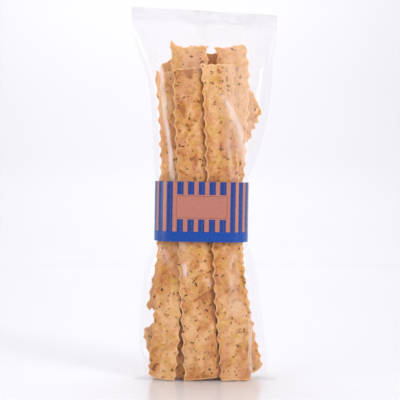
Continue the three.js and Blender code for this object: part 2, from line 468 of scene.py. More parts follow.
def crust_finish(bread):
    """Dry baked crust: pale gold, toasted on its blisters, with paler cut edges."""
    s = Shader("breadstick_crust")
    patches = s.noise(45, 3, 0.55, 0.9, (1, 1, 0.6))
    spots = s.noise(150, 3, 0.55, 0.9)
    mottle = s.noise(520, 3, 0.6)
    grain = s.noise(1500, 2, 0.6)
    # The toast attribute holds the crust's browning together with the painted shade and painted
    # light of some sticks and gaps.
    bake = s.attribute("toast")
    for layer, low, high, paler, browner in (
        (patches, 0.4, 0.62, -0.24, 0.24),
        (spots, 0.4, 0.64, -0.14, 0.22),
        (mottle, 0.3, 0.7, -0.07, 0.07),
        (grain, 0.3, 0.7, -0.05, 0.05),
    ):
        bake = s.math("ADD", bake, s.scaled(layer, low, high, paler, browner))
    crusts = (0.1, bread.pale), (0.44, bread.gold), (0.72, bread.orange), (1.05, bread.toasted)
    colour = s.ramp(bake, crusts)
    yellow = s.scaled(s.noise(130, 2, 0.5, 0.5), 0.5, 0.68, 0.0, 0.7)
    colour = s.mix(yellow, colour, tinted(bread.gold, 1.03, 1.12, 0.52))
    blush = s.scaled(s.noise(75, 2, 0.5, 0.7, (1, 1, 0.7)), 0.48, 0.7, 0.0, 0.44)
    colour = s.mix(blush, colour, tinted(bread.gold, 1.08, 1.0, 1.6))
    colour = s.mix(s.times(s.attribute("rim"), 0.75), colour, tinted(bread.pale, 1.16, 1.26, 1.38))
    flecks = s.scaled(s.noise(560, 2, 0.4), 0.64, 0.72)
    colour = s.mix(s.times(flecks, 0.55), colour, (0.26, 0.11, 0.035))
    relief = s.bump(s.noise(300, 3, 0.55, 0.6), 0.0009, 0.45)
    relief = s.bump(grain, 0.00025, 0.6, Normal=relief)
    return s.finish({
        "Base Color": colour,
        "Roughness": s.scaled(mottle, 0.3, 0.7, 0.58, 0.78),
        "Normal": relief,
        "Specular IOR Level": 0.32,
        "Subsurface Weight": 0.25,
        "Subsurface Radius": (0.004, 0.0015, 0.0006),
        "Subsurface Scale": 1.0,
    })


def seed_finish(name, dark, light):
    """Small hard seeds, each a little lighter or darker than the next."""
    s = Shader(name)
    return s.finish({
        "Base Color": s.ramp(s.noise(300, 1), ((0.35, dark), (0.65, light))),
        "Roughness": s.scaled(s.noise(900, 2), 0.3, 0.7, 0.6, 0.8),
        "Specular IOR Level": 0.12,
        "Normal": s.bump(s.noise(5200, 2), 0.00008, 0.6),
    })


def film_finish(film):
    """Thin clear film: it mirrors more where it turns away, is hazy where it lies in two layers,
    and is whitish along its creases, which is partly painted highlight; its dark seal lines are
    painted shade."""
    s = Shader("clear_film")
    away = s.node("LayerWeight", {"Blend": 0.5}).outputs["Facing"]
    share = s.math("MULTIPLY_ADD", s.math("POWER", away, 4.0), 0.12, film.gloss)
    ripple = s.bump(s.noise(160, 2, 0.5), 0.0006, 0.25)
    shine = {"Color": (1.0, 0.99, 1.0), "Roughness": film.roughness, "Normal": ripple}
    mirror = s.node("BsdfAnisotropic", shine).outputs[0]
    clear = s.node("BsdfTransparent", {"Color": (0.987, 0.984, 0.986)}).outputs[0]
    glossy = s.node("MixShader", {0: share, 1: clear, 2: mirror}).outputs[0]
    doubled, creased = s.attribute("doubled"), s.attribute("creased")
    # Pinkish white for the whitish creases, which is partly painted highlight, and grey where the
    # film lies in two layers and along the painted dark lines of shade.
    milk_and_highlight = s.mix(s.math("MINIMUM", doubled, 1.0), (0.94, 0.87, 0.88), (0.64, 0.62, 0.67))
    inputs = {"Base Color": milk_and_highlight, "Roughness": 0.45, "Specular IOR Level": 0.3}
    milky_and_highlight = s.node("BsdfPrincipled", inputs).outputs[0]
    cloud = s.scaled(s.noise(24, 2, 0.5, 0.8), 0.35, 0.75, 0.4, 1.5)
    haze = s.times(s.math("MULTIPLY_ADD", doubled, 0.15, film.haze), cloud)
    # The creases' whiteness, partly painted highlight, is laid over the haze.
    haze = s.math("ADD", haze, creased)
    return s.finish(s.node("MixShader", {0: haze, 1: glossy, 2: milky_and_highlight}).outputs[0])


def paper_finish(band):
    """Uncoated paper printed with bars, a plain panel and a strip along the lower edge. The print
    reads the band's own map, which tells how far round the band and up it a spot lies."""
    s = Shader("printed_paper")
    place = s.node("SeparateXYZ", {0: s.node("UVMap", uv_map="print").outputs[0]}).outputs
    across, up = (s.times(s.math("SUBTRACT", place[i], PRINT_ORIGIN), PRINT_SCALE) for i in (0, 1))

    def inside(value, low, high, soft=PRINT_EDGE):
        above = s.scaled(value, low - soft, low + soft)
        below = s.scaled(value, high - soft, high + soft, 1.0, 0.0)
        return s.times(above, below)

    def outside(value):
        return s.math("SUBTRACT", 1.0, value)

    def panel_inset(inset):
        sides = inside(aside, inset - PANEL_WIDTH / 2, PANEL_WIDTH / 2 - inset)
        return s.times(sides, inside(up, PANEL_LOW + inset, PANEL_HIGH - inset))

    pitch = band.bar_pitch / MM
    half_bar = band.bar_width / MM / 2
    turns = s.math("ADD", s.math("DIVIDE", across, pitch), 0.5)
    in_bar = s.times(s.math("SUBTRACT", s.math("FRACT", turns), 0.5), pitch)
    bars = inside(in_bar, -half_bar, half_bar)
    hairline = inside(in_bar, BAR_LINE_SHIFT - 0.15, BAR_LINE_SHIFT + 0.15, 0.1)
    aside = s.math("SUBTRACT", across, PANEL_SHIFT)
    inner = panel_inset(PANEL_LINE_INSET + PANEL_LINE_WIDTH)
    border = s.times(panel_inset(PANEL_LINE_INSET), outside(inner))
    strip = s.scaled(up, STRIP_TOP - PRINT_EDGE, STRIP_TOP + PRINT_EDGE, 1.0, 0.0)
    inked = s.math("MAXIMUM", s.times(bars, outside(panel_inset(0.0))), strip)

    fibre = s.noise(900, 3, 0.6, 0.0, (1, 1, 0.35))
    paper = s.mix(s.scaled(fibre, 0.3, 0.7, 0.0, 0.06), band.paper, (0.58, 0.28, 0.19))
    paper = s.mix(s.times(border, 0.75), paper, tinted(band.paper, 0.45, 0.45, 0.45))
    ink = s.mix(s.scaled(s.noise(60, 3), 0.35, 0.7, 0.0, 0.12), band.ink, (0.03, 0.08, 0.3))
    ink = s.mix(strip, ink, tinted(band.ink, 0.2, 1.3, 1.5))
    ink = s.mix(s.times(s.times(hairline, 0.45), outside(strip)), ink, (0.2, 0.22, 0.45))
    return s.finish({
        "Base Color": s.mix(inked, paper, ink),
        "Roughness": s.scaled(fibre, 0.3, 0.7, 0.27, 0.29),
        "Normal": s.bump(fibre, 0.00002, 0.05),
        "Specular IOR Level": 0.5,
        "Sheen Weight": 0.45,
        "Sheen Roughness": 0.45,
        "Sheen Tint": (0.45, 0.85, 1.0),
    })


def floor_finish(stage):
    """A smooth pale board with a faint soft mirror image."""
    s = Shader("pale_board")
    return s.finish({"Base Color": stage.floor, "Roughness": 0.2, "Specular IOR Level": 0.75})


# ---- Breadsticks

ROW_STEP = 1.0  # fineness of a stick along its length, and across it
COLUMN_STEP = 1.25
COURSE_STEPS = 300
USUAL_PITCH = 12  # the setting at which the sticks' own wave pitches hold
SWELLS = 7  # long low swells of one face
BLISTER_AREA = 80.0  # of a face, for each blister
CREASE_SPACING = 19.0
BAKED = 0.36  # how toasted a plain stick is
CUT_REACH = 16.0  # how far into a stick the line of its end is felt
TOP_TOAST, FOOT_SHADE = (62, 12), (75, 25)  # from an end, where the top's browning and the foot's painted shade begin and where they are full


class Course:
    """A stick's middle line, and how it is turned, from its foot to its top."""

    def __init__(self, stations):
        rows = np.array(stations, float)
        self.fits = [
            np.polynomial.Polynomial.fit(rows[:, 0], rows[:, k], len(rows) - 1) for k in (1, 2, 3)
        ]
        self.heights = np.linspace(rows[0, 0], rows[-1, 0], COURSE_STEPS)
        line = np.stack([self.fits[0](self.heights), self.fits[1](self.heights), self.heights], 1)
        steps = np.linalg.norm(np.diff(line, axis=0), axis=1)
        self.along = np.concatenate([[0], np.cumsum(steps)])
        self.length = self.along[-1]

    def place(self, across, along, outward):
        """Points at a distance across the stick, along it and out of its front face."""
        z = np.interp(along, self.along, self.heights)
        z = z + np.minimum(along, 0) + np.maximum(along - self.length, 0)
        x, y, turn = (fit(z) for fit in self.fits)
        dx, dy = (fit.deriv()(z) for fit in self.fits[:2])
        tangent = unit(np.stack([dx, dy, np.ones_like(z)], 1))
        angle = np.radians(turn)
        side = np.stack([np.cos(angle), np.sin(angle), np.zeros_like(z)], 1)
        side = unit(side - (side * tangent).sum(1)[:, None] * tangent)
        middle = np.stack([x, y, z], 1)
        return middle + side * across[:, None] + np.cross(side, tangent) * outward[:, None]


def end_line(rng, end, across, width, sway):
    """How far one end of the stick stands out past its plain cut, across the stick."""
    line = end.slant * across / width
    line += sway * np.sin(across * 0.9 + rng.uniform(0, 6)) + 0.6 * sway * np.sin(across * 0.37)
    if end.horn_side:
        reach = np.abs(across - end.horn_side * width / 2)
        line += end.horn * np.exp(-reach / 4.2)
    if end.torn:
        teeth = np.zeros_like(across)
        for count in range(1, 7):
            phase = rng.uniform(0, 2 * math.pi)
            teeth += rng.uniform(0.4, 1.0) * np.sin(across * count * 0.42 + phase) / count**0.6
        line += end.torn * teeth
    return line


def face_relief(plan, side, across, along, length):
    """Height of one face over the flat bar, in millimetres, and how toasted it is."""
    rng = np.random.default_rng((plan.seed, 5 + side))
    height = np.zeros_like(across)
    toast = np.zeros_like(across)
    for _ in range(SWELLS):
        wave = rng.uniform(26, 80)
        heading = rng.uniform(0.9, 2.2)
        turns = (across * math.cos(heading) + along * math.sin(heading)) / wave
        swing = np.sin(2 * math.pi * turns + rng.uniform(0, 6.3))
        height += rng.uniform(0.04, 0.13) * swing
    for _ in range(int(plan.width * length / BLISTER_AREA)):
        du = across - rng.uniform(-0.46, 0.46) * plan.width
        dv = along - rng.uniform(0, length)
        reach = rng.uniform(1.8, 7.5)
        longer = reach * rng.uniform(1.0, 2.6)
        heading = rng.uniform(-0.7, 0.7)
        cos, sin = math.cos(heading), math.sin(heading)
        a, b = (du * cos + dv * sin) / reach, (dv * cos - du * sin) / longer
        dome = np.clip(1 - a * a - b * b, 0, 1) ** 1.2
        rise = rng.uniform(-0.4, 0.75) * min(1.0, reach / 3.5)
        height += rise * dome
        toast += rise * dome * 0.45
    lines = list(plan.creases) if side > 0 else []
    for _ in range(max(2, int(length / CREASE_SPACING))):
        u, v = rng.uniform(-0.5, 0.5) * plan.width, rng.uniform(10, length - 10)
        heading = rng.uniform(-1.3, 1.3)
        reach = rng.uniform(12, 30)
        end = u + reach * math.sin(heading), v + reach * math.cos(heading)
        lines.append((u, v, *end, rng.choice((-1, 1)) * rng.uniform(0.25, 0.8)))
    for *line, rise in lines:
        a, d, _ = beside_line(across, along, *line)
        fade = ease(-0.08, 0.12, a) * ease(1.08, 0.88, a)
        ledge = ease(-0.8, 0.5, d) * np.exp(-np.maximum(d, 0) / 7)
        height += rise * ledge * fade
        toast -= 0.42 * rise * np.exp(-((d - 0.4) / 1.1) ** 2) * fade
        toast -= 0.46 * rise * ledge * fade
    return height, toast


def blank_bar(name, width, length, thickness):
    """A flat bar lying on the ground plane, rolled out as a sheet, with its rims rounded."""
    bar = fresh(
        bpy.ops.mesh.primitive_grid_add, name, size=1,
        x_subdivisions=round(width / COLUMN_STEP), y_subdivisions=round(length / ROW_STEP),
    )
    with editing(bar):
        bpy.ops.transform.resize(value=(width * MM, length * MM, 1))
        bpy.ops.transform.translate(value=(0, 0, -thickness * MM / 2))
        bpy.ops.mesh.extrude_region_move(
            TRANSFORM_OT_translate={"value": (0, 0, thickness * MM)}
        )
        bpy.ops.mesh.select_all(action="SELECT")
        bpy.ops.mesh.normals_make_consistent(inside=False)
        pick_sharp(60)
        bpy.ops.mesh.bevel(offset=0.2 * thickness * MM, segments=2, affect="EDGES")
        bpy.ops.mesh.select_mode(type="VERT")
    return bar


def shape_stick(bar, plan, course, bread):
    """Flutes, blisters and bends the blank bar, and stands it in its place in the bag."""
    length, half = course.length, plan.width / 2
    points = points_of(bar.data)
    across, outward = points[:, 0], points[:, 2]
    along = points[:, 1] + length / 2
    level = outward / (bread.thickness / MM / 2)
    near_edge = np.abs(across) / half
    near_end = np.minimum(along, length - along)

    ends = np.random.default_rng((plan.seed, 5))
    thin = 1 - 0.3 * ease(0.72, 1.0, near_edge) - 0.18 * ease(5, 0, near_end)
    shift, warp = np.zeros_like(across), np.zeros_like(across)
    toast = np.full_like(across, BAKED + plan.toast)
    for side in (1, -1):
        rise, brown = face_relief(plan, side, across, along, length)
        share = np.clip(level * side, 0, 1)
        shift += side * share * rise
        toast += share * brown
    for _ in range(4):
        wave = ends.uniform(45, 120)
        warp += ends.uniform(0.05, 0.22) * np.sin(2 * math.pi * along / wave + ends.uniform(0, 6.3))
    outward = outward * thin + shift + warp - plan.cupped * near_edge**2

    pitch = plan.waves[0] * bread.wave_pitch / MM / USUAL_PITCH
    for side, offset in zip((-1, 1), plan.waves[1:]):
        drift = ends.uniform(0, 6.3)
        beat = math.pi * (along - offset) / pitch
        beat += 0.35 * np.sin(along / ends.uniform(17, 30) + drift)
        cusps = 0.62 - np.sqrt(np.sin(beat) ** 2 + 0.03)
        lobes = (cusps + 0.1 * np.sin(along / 4.3 + drift)) * bread.wave_depth / MM
        lobes += 0.5 * np.sin(along / ends.uniform(14, 22) + drift)
        across = across + side * lobes * ease(0.62, 1.0, side * points[:, 0] / half)
    top = end_line(ends, plan.top, across, plan.width, 0.35)
    foot = end_line(ends, plan.foot, across, plan.width, 0.12)
    along = along + top * ease(length - (CUT_REACH + abs(plan.top.slant)), length, along)
    along = along - foot * ease(CUT_REACH + abs(plan.foot.slant), 0, along)

    corner = ease(0.45, 0.75, np.abs(level))
    rim = np.clip(1.1 - np.abs(level), 0, 1) + 0.8 * ease(0.925, 0.96, near_edge)
    rim = (rim + 0.6 * ease(1.8, 0.9, near_end)) * corner
    # A browner band inside each rim, and browned middles of the cut walls as painted warm shade for
    # the gaps between sticks.
    toast += 0.14 * ease(0.74, 0.88, near_edge) + 0.5 * (1 - corner)
    upper = 0.4 + 0.6 * ease(110, 200, along)
    # Browner edges, fading lower down; on the middle front stick this is painted shade where its
    # neighbour lies over it.
    for side, brown in zip((-1, 1), plan.edge_toast_and_shade):
        toast += brown * upper * ease(half - 10, half - 4, side * across)
    # A browner top, or a paler one where negative; on some sticks the paler top is painted light.
    toast += plan.top_toast_and_light * ease(length - TOP_TOAST[0], length - TOP_TOAST[1], along)
    # Painted shade at the foot, for a stick seen deep in a gap between the sticks in front.
    toast += plan.foot_shade * ease(*FOOT_SHADE, along)
    move_points(bar.data, course.place(across, along, outward))
    # The toast stored here includes the painted shade and painted light set above.
    store(bar.data, "toast", np.clip(toast, 0, 1.2))
    store(bar.data, "rim", np.clip(rim, 0, 1))
    store(bar.data, "side", np.where(np.abs(level) > 0.97, np.sign(level), 0))


def crumble(obj, name, size, depth):
    """Pushes the surface in and out by a cloudy pattern of a given size."""
    texture = bpy.data.textures.get(name) or bpy.data.textures.new(name, "CLOUDS")
    texture.noise_scale = size * MM
    texture.noise_depth = 1
    modifier = obj.modifiers.new(name, "DISPLACE")
    modifier.texture = texture
    modifier.texture_coords = "LOCAL"
    modifier.strength = depth * MM
    modifier.mid_level = 0.5


class BREADPACK_OT_sticks(bpy.types.Operator):
    """Bakes every breadstick and stands it in the bag"""

    bl_idname = "breadpack.sticks"
    bl_label = "Breadsticks"

    def execute(self, context):
        bread = context.scene.breadpack_bread
        finish = crust_finish(bread)
        for plan in STICKS:
            course, thickness = Course(plan.stations), bread.thickness / MM
            bar = blank_bar("breadstick_" + plan.name, plan.width, course.length, thickness)
            shape_stick(bar, plan, course, bread)
            crumble(bar, "dough_lumps", 5.0, 1.2)
            crumble(bar, "dough_grain", 1.8, 0.35)
            apply_modifiers(bar)
            hand_over(bar, finish, "bag")
        return {"FINISHED"}


# ---- Seeds and flecks

SEED_RING = 2.2  # how far the crust is browned round a seed


def seed_shape(radius, squash):
    """One small rounded seed at the origin, as points and faces."""
    seed = fresh(bpy.ops.mesh.primitive_ico_sphere_add, "seed", subdivisions=2, radius=radius * MM)
    with editing(seed):
        bpy.ops.transform.resize(value=squash)
    points = points_of(seed.data)
    faces = np.array([list(polygon.vertices) for polygon in seed.data.polygons])
    bpy.data.objects.remove(seed)
    return points, faces


def turned_to(normals, spins):
    """For each normal, a frame whose third axis is the normal, spun about it."""
    helper = np.where(np.abs(normals[:, 2:3]) < 0.9, [[0, 0, 1]], [[1, 0, 0]])
    first = unit(np.cross(helper, normals))
    second = np.cross(normals, first)
    cos, sin = np.cos(spins)[:, None], np.sin(spins)[:, None]
    return np.stack([first * cos + second * sin, second * cos - first * sin, normals], 1)


def scatter(name, shape, spots, normals, sizes, spins, sink):
    """One joined piece with a copy of the shape at every spot."""
    points, faces = shape
    frames = turned_to(normals, spins)
    placed = np.einsum("pk,nkj->npj", points, frames) * sizes[:, None, None]
    placed += (spots - normals * sink * sizes[:, None])[:, None, :]
    shifts = np.arange(len(spots))[:, None, None] * len(points)
    mesh = bpy.data.meshes.new(name)
    corners = (placed.reshape(-1, 3) * MM).tolist()
    mesh.from_pydata(corners, [], (faces + shifts).reshape(-1, 3).tolist())
    mesh.update()
    obj = bpy.data.objects.new(name, mesh)
    bpy.context.scene.collection.objects.link(obj)
    return obj


def speckled_spots(stick, share, side, spacing, rng):
    """Spots on one face of a stick, evenly strewn, with a close pair or threesome now and then."""
    mesh = stick.data
    points, normals = points_of(mesh), normals_of(mesh)
    flat = np.flatnonzero((stored(mesh, "side") == side) & (stored(mesh, "rim") < 0.4))
    tree = tree_of(points[flat])
    wanted = int(share * len(flat) * ROW_STEP * COLUMN_STEP / spacing**2)
    found = []
    taken = np.zeros(len(flat), bool)
    for start in rng.permutation(len(flat)):
        if len(found) >= wanted:
            break
        if taken[start]:
            continue
        found.append(start)
        for _, i, _ in tree.find_range(points[flat[start]], rng.uniform(0.35, 0.75) * spacing):
            taken[i] = True
        if rng.random() < 0.22:
            near = tree.find_range(points[flat[start]], 2.6)
            found.extend(near[rng.integers(len(near))][1] for _ in range(rng.integers(1, 3)))
    found = flat[np.unique(found)]
    jitter = rng.normal(0, 0.35, (len(found), 3))
    jitter -= (jitter * normals[found]).sum(1)[:, None] * normals[found]
    return points[found] + jitter, normals[found]


def toast_round(stick, spots, reach, amount):
    """Browns the crust round each spot."""
    mesh = stick.data
    toast = stored(mesh, "toast")
    tree = tree_of(points_of(mesh))
    for spot in spots:
        for _, i, distance in tree.find_range(spot, reach):
            toast[i] += amount * (1 - distance / reach)
    store(mesh, "toast", np.clip(toast, 0, 1.2))


class BREADPACK_OT_seeds(bpy.types.Operator):
    """Presses dark seeds and brown herb flecks into the crust"""

    bl_idname = "breadpack.seeds"
    bl_label = "Seeds and flecks"

    def execute(self, context):
        bread = context.scene.breadpack_bread
        spacing = bread.seed_spacing / MM
        kinds = (
            ("seeds_dark", 5, 0.9, 1.0, (1.0, 0.76, 0.55), 0.1,
             seed_finish("dark_seed", (0.07, 0.034, 0.018), (0.19, 0.085, 0.036))),
            ("flecks_brown", 6, 0.5, 1.15, (1.7, 0.62, 0.3), 0.02,
             seed_finish("brown_fleck", (0.11, 0.036, 0.01), (0.22, 0.085, 0.022))),
        )
        for name, key, density, size, squash, sink, finish in kinds:
            rng = np.random.default_rng(key)
            found = []
            for plan in STICKS:
                stick = bpy.data.objects["breadstick_" + plan.name]
                for side, share in zip((1, -1), plan.specks):
                    found.append(speckled_spots(stick, share * density, side, spacing, rng))
                    toast_round(stick, found[-1][0], SEED_RING, 0.3)
            spots, normals = map(np.concatenate, zip(*found))
            sizes = rng.uniform(0.55, 1.35, len(spots)) * size
            spins = rng.uniform(0, 2 * math.pi, len(spots))
            shape = seed_shape(bread.seed_length / MM / 2, squash)
            seeds = scatter(name, shape, spots, normals, sizes, spins, sink)
            hand_over(seeds, finish, "bag")
        return {"FINISHED"}


# ---- Film


def fold_shape(x, z, line, rise, left, right, milky_and_highlight=(0, 0), bow=0):
    """How far a fold of the film stands out, and how whitish it is: a whitening of the crease that
    is partly painted highlight. Its line goes from the place across and height of its one end to
    its other. It stands out by its rise, its flanks are so wide and so whitish on the left and on
    the right, and its middle bows to the right. A whiteness under nought darkens the film instead,
    as a painted dark line of shade."""
    a, d, reach = beside_line(x, z, *line)
    d = d - bow * 4 * a * (1 - a)
    d = d + 0.5 * np.sin(a * reach / 9) + 0.25 * np.sin(a * reach / 3.7 + 1)
    tent = 1 - np.sqrt((d / np.where(d < 0, left, right)) ** 2 + 0.06) + 0.24
    fade = ease(-0.02, 0.12, a) * ease(1.02, 0.85, a)
    uneven = 0.8 + 0.2 * np.sin(a * reach / 6 + 2) * np.sin(a * reach / 13)
    on_left = milky_and_highlight[0] * ease(-left, -0.6 * left, d)
    on_right = milky_and_highlight[1] * ease(right, 0.6 * right, d)
    return rise * np.clip(tent, 0, 1) * fade, np.where(d < 0, on_left, on_right) * fade * uneven


# Each fold's line, rise, flanks, milkiness and bow. The milkiness is partly painted highlight along
# the crease, and under nought a painted dark line of shade.
FRONT_FOLDS = (
    # Pulled up from the band to the shoulders.
    ((-25.5, 176, -40.4, 312), 0.6, 4.8, 7, (0.56, 0)),
    ((39, 182, 11, 274), 0.8, 8, 3.6, (0, 0), 6.5),
    ((37, 196, 14, 268), 0.3, 3, 3.4, (0.34, 0.42), 6),
    ((28, 180, 20, 226), 0.4, 2.2, 2, (0.3, 0.18), 1),
    ((32, 182, 30, 220), 0.3, 1.6, 1.6, (0.16, 0.16)),
    # A broad slack sheen at the right shoulder, and one at the left.
    ((36, 206, 31, 322), 0.5, 20, 12, (0.17, 0.22), 2),
    ((-14, 262, -8, 330), 0.4, 14, 12, (0.07, 0.07)),
    # Below the band.
    ((-20, 132, -17.5, 94), 0.5, 2.6, 4, (0.22, 0.2)),
    ((-19, 110, -16, 97), 0.4, 2.9, 2.6, (0.34, 0.38)),
    ((3, 96, 5.4, 88), 0.4, 1.4, 1.8, (0.34, 0.34)),
    ((-40, 124, -31, 106), 0.2, 4, 4, (0.22, 0.16)),
    ((27, 122, 29, 60), 0.5, 5, 6, (0.17, 0.15), 1),
    ((35.5, 126, 38, 96), 0.15, 3, 2.6, (0.22, 0.16)),
    ((42, 68, 43, 4), 0.6, 1.6, 1.6, (0.42, 0.26)),
    ((33, 76, 44, 34), 0.4, 3, 2, (0.15, 0.12)),
    ((-57, 30, -51, 14), 0.5, 1.4, 1.4, (0.4, 0.4), 1.5),
    # Slack film at the shoulder.
    ((-60, 330, -47, 262), 0.9, 4, 6, (0.08, 0), -2),
    ((58, 328, 60, 292), 0.9, 5, 3, (0, -0.1)),
    ((-20, 332, 6, 306), 0.9, 6, 6),
    ((22, 332, 42, 300), 0.8, 6, 4),
    # Along the foot of the top seal: whitish lines, partly painted highlight, and dark lines of
    # painted shade.
    ((-66, 338.6, -47, 338.2), 0.5, 1.3, 1.3, (-0.4, -0.4)),
    ((0, 334.6, 18, 336.8), 0.4, 1.4, 1.4, (0.25, 0.16)),
    ((17, 336.9, 27, 333), 0.4, 1.4, 1.4, (0.2, 0.24)),
    ((26, 333.2, 38, 333), 0.4, 1.4, 1.4, (0.25, 0.2)),
    ((40, 330.4, 56, 329.4), 0.5, 1.3, 1.3, (-0.36, -0.36)),
    ((-32, 347, 8, 344.6), 0.3, 2.4, 2.4, (-0.22, -0.22)),
    ((11, 340.6, 38, 338), 0.3, 2.4, 2.4, (-0.26, -0.26)),
)

# The back's folds also carry whitish flanks that are partly painted highlight.
BACK_FOLDS = (
    ((-20, 188, -34, 280), 0.8, 3.4, 8, (0.4, 0), 1.5),
    ((18, 188, 30, 270), 0.8, 8, 3.4, (0, 0.35), -1.5),
    ((30, 126, 44, 60), 0.7, 6, 3, (0, 0.25)),
    ((-32, 126, -46, 50), 0.7, 3, 6, (0.25, 0)),
    ((10, 330, -24, 300), 0.8, 5, 5, (0.1, 0)),
)

PLEAT_REACH = 34.0  # how far the gathers by the band run
PLEAT_PITCH = 6.5
PLEAT_RISE = 0.15
BACK_SEAM, BACK_SEAM_WIDTH = -2.0, 9.0  # the tube's own glued seam down its back
SEAL_FOOT, SEAL_MIDDLE = 22.0, 14.0  # from the top of the bag
SEAL_DROP, SEAL_WIDTH = 8.4, 137.0  # how much lower the seal's right end is
WAIST, WAIST_HALF = 157.0, 28.0  # the middle of the band's place, and half its height


def gather(x, z):
    """Small upright pleats where the band draws the film in."""
    above = np.maximum(np.maximum(z - (BAND_TOP - 1), BAND_FOOT + 1 - z), 0)
    fade = np.exp(-above / PLEAT_REACH * 2.2) * ease(0, 3, above)
    wander = 1.6 * np.sin(x / 9.0 + z / 21.0)
    pleats = np.abs(np.sin(math.pi * (x + wander) / PLEAT_PITCH)) ** 3
    uneven = 0.5 + 0.5 * np.sin(x / 13.0 + 1.7)
    return PLEAT_RISE * pleats * uneven * fade


def drape(mesh):
    """Folds, gathers and seals the film."""
    points, normals = points_of(mesh), normals_of(mesh)
    x, z = points[:, 0], points[:, 2]
    facing = np.sign(normals[:, 1])
    flat = ease(0.25, 0.8, np.abs(normals[:, 1]))
    over_seal = z + SEAL_DROP * x / SEAL_WIDTH
    sealed = ease(BAG_TOP - SEAL_FOOT, BAG_TOP - SEAL_MIDDLE, over_seal)
    standing = ease(1.5, 12, z)
    rise, milk_and_highlight = np.zeros_like(x), np.zeros_like(x)
    for side, row in [(-1, row) for row in FRONT_FOLDS] + [(1, row) for row in BACK_FOLDS]:
        stands, milky_and_highlight = fold_shape(x, z, *row)
        rise += np.where(facing == side, stands, 0) * flat
        milk_and_highlight += np.where(facing == side, milky_and_highlight, 0) * ease(0.3, 0.6, flat)
    rise += gather(x, z) * flat
    rise *= standing * (1 - 0.8 * sealed)
    away = ease(4, 26, np.abs(z - WAIST) - WAIST_HALF) * standing * (1 - sealed)
    loose = 0.22 * np.sin(x / 7.3 + z / 17.0 + facing) + 0.22 * np.sin(z / 11.0 - x / 15.0)
    slack = 1 + 1.6 * ease(285, 318, z)
    rise += away * slack * (0.3 + loose)
    seam = ease(BACK_SEAM_WIDTH / 2 + 0.8, BACK_SEAM_WIDTH / 2, np.abs(x - BACK_SEAM))
    rise += 0.25 * seam * (facing > 0) * flat
    move_points(mesh, points + normals * rise[:, None])
    # Two layers of film at the seal and the back seam, with the folds' dark lines of painted shade
    # added in.
    doubled = sealed + 0.6 * seam * (facing > 0) * flat + 3.0 * np.clip(-milk_and_highlight, 0, 1)
    store(mesh, "doubled", np.clip(doubled, 0, 2))
    # Whitish crease flanks, partly painted highlight.
    store(mesh, "creased", np.clip(milk_and_highlight, 0, 1))


class BREADPACK_OT_film(bpy.types.Operator):
    """Draws the clear film over the breadsticks, with its seals, folds and gathers"""

    bl_idname = "breadpack.film"
    bl_label = "Film"

    def execute(self, context):
        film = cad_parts["bag"].copy()
        film.data = film.data.copy()
        film.name = film.data.name = "film"
        for key in [key for key in film.keys() if key.startswith("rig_")]:
            del film[key]
        film.parent = None
        bpy.context.scene.collection.objects.link(film)
        film.hide_render = film.hide_viewport = False
        with editing(film):
            bpy.ops.mesh.remove_doubles(threshold=0.00002)
            bpy.ops.mesh.tris_convert_to_quads()
            pick_sharp(50)
            bpy.ops.transform.edge_crease(value=0.8)
            bpy.ops.mesh.select_mode(type="VERT")
        finer = film.modifiers.new("finer", "SUBSURF")
        finer.levels = finer.render_levels = 2
        apply_modifiers(film)
        drape(film.data)
        hand_over(film, film_finish(context.scene.breadpack_film), "bag", 50)
        return {"FINISHED"}


# ---- Band

PRINT_SCALE = 400.0  # the print's map runs from 0 to 1 over this many millimetres
PRINT_ORIGIN = 0.5
PRINT_EDGE = 0.12  # softness of the print's edges
PRINT_PINCH = 2.6  # how far the print is drawn together at the band's right shoulder
PINCHED = (24, 42)  # where, round from the front's middle
PANEL_WIDTH = 49.0
PANEL_SHIFT = 0.4
PANEL_LOW, PANEL_HIGH = -7.0, 15.6
PANEL_LINE_INSET = 1.0
PANEL_LINE_WIDTH = 0.55
STRIP_TOP = -18.3
BAR_LINE_SHIFT = 0.9

BAND_TILT = math.radians(1.0)
BAND_CORNER = 21.4
BAND_LAP = 22.0
BAND_LAP_MIDDLE = 6.0
PAPER = 0.24  # its thickness
BAND_WIDTH = 87.9
BAND_DEPTH = 46.0
BAND_HEIGHT = 55.4
BAND_CENTRE = np.array([-2.4, -0.2, 157.3])


def sleeve_outline(along):
    """Place and outward direction at a distance round the sleeve from the middle of its front,
    going to the right."""
    half_x, half_y = BAND_WIDTH / 2 - BAND_CORNER, BAND_DEPTH / 2 - BAND_CORNER
    quarter = math.pi / 2 * BAND_CORNER
    sides = [half_x, quarter, 2 * half_y, quarter, 2 * half_x, quarter, 2 * half_y, quarter, half_x]
    starts = np.concatenate([[0], np.cumsum(sides)])
    girth = starts[-1]
    s = np.mod(along, girth)
    leg = np.clip(np.searchsorted(starts, s, side="right") - 1, 0, len(sides) - 1)
    t = s - starts[leg]
    heading = (leg // 2) * math.pi / 2 + np.where(leg % 2, t / BAND_CORNER, 0)
    outward = np.stack([np.sin(heading), -np.cos(heading)], 1)
    forward = np.stack([np.cos(heading), np.sin(heading)], 1)
    bends = np.array([[half_x, -half_y], [half_x, half_y], [-half_x, half_y], [-half_x, -half_y]])
    on_bend = bends[(leg // 2) % 4] + outward * BAND_CORNER
    flats = np.array([
        [0, -half_y - BAND_CORNER], [half_x + BAND_CORNER, -half_y], [half_x, half_y + BAND_CORNER],
        [-half_x - BAND_CORNER, half_y], [-half_x, -half_y - BAND_CORNER],
    ])
    on_flat = flats[leg // 2] + forward * t[:, None]
    return np.where((leg % 2 == 1)[:, None], on_bend, on_flat), outward, girth


